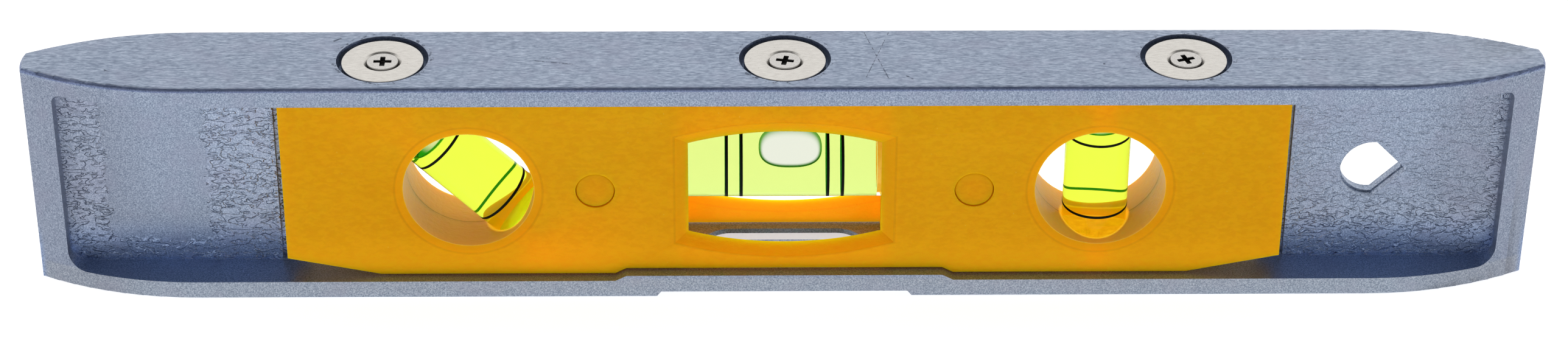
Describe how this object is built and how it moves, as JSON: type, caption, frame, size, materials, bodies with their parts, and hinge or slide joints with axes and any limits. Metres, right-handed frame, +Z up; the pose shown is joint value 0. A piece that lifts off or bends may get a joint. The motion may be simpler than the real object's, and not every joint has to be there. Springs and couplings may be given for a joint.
{
  "type": "spirit level",
  "caption": "Short die-cast spirit level with tapered ends, a magnetic measuring face, a hanging hole, and a plastic carrier holding level, plumb and 45 degree vials.",
  "frame": {"origin": "centre of the footprint, at the underside of the plain rail that it stands on", "axes": "+Z up through the magnetic face, +X along the frame towards the hanging hole, the front faces -Y"},
  "size_m": [0.23, 0.0176, 0.0373],
  "materials": {
    "frame": "blue-grey metallic paint on a die casting",
    "carrier": "moulded, fine grain",
    "pin": "moulded",
    "magnet": "satin nickel plate",
    "screw": "zinc plated",
    "vial": "clear acrylic",
    "vial_plug": "clear acrylic",
    "vial_liquid": "coloured spirit",
    "bubble": "air",
    "vial_line": "printed"
  },
  "bodies": {
    "level": {"frame_casting": "frame", "front_carrier_half": "carrier", "rear_carrier_half": "carrier", "carrier_joining_pins": "pin", "left_magnet": "magnet", "middle_magnet": "magnet", "right_magnet": "magnet", "magnet_screws": "screw", "level_vial_tube": "vial", "level_vial_plug": "vial_plug", "level_vial_liquid": "vial_liquid", "level_vial_lines": "vial_line", "plumb_vial_tube": "vial", "plumb_vial_plug": "vial_plug", "plumb_vial_liquid": "vial_liquid", "plumb_vial_lines": "vial_line", "angle_vial_tube": "vial", "angle_vial_plug": "vial_plug", "angle_vial_liquid": "vial_liquid", "angle_vial_lines": "vial_line"},
    "level_bubble": {"level_vial_bubble": "bubble"},
    "plumb_bubble": {"plumb_vial_bubble": "bubble"},
    "angle_bubble": {"angle_vial_bubble": "bubble"}
  },
  "joints": [
    {"name": "level_bubble_travel", "type": "slide", "parent": "level", "child": "level_bubble", "axis": [1, 0, 0], "range_m": [-0.01065, 0.00835]},
    {"name": "plumb_bubble_travel", "type": "slide", "parent": "level", "child": "plumb_bubble", "axis": [0, 0, 1], "range_m": [-0.0174, 0]},
    {"name": "angle_bubble_travel", "type": "slide", "parent": "level", "child": "angle_bubble", "axis": [0.7071, 0, -0.7071], "range_m": [0, 0.0174]}
  ]
}
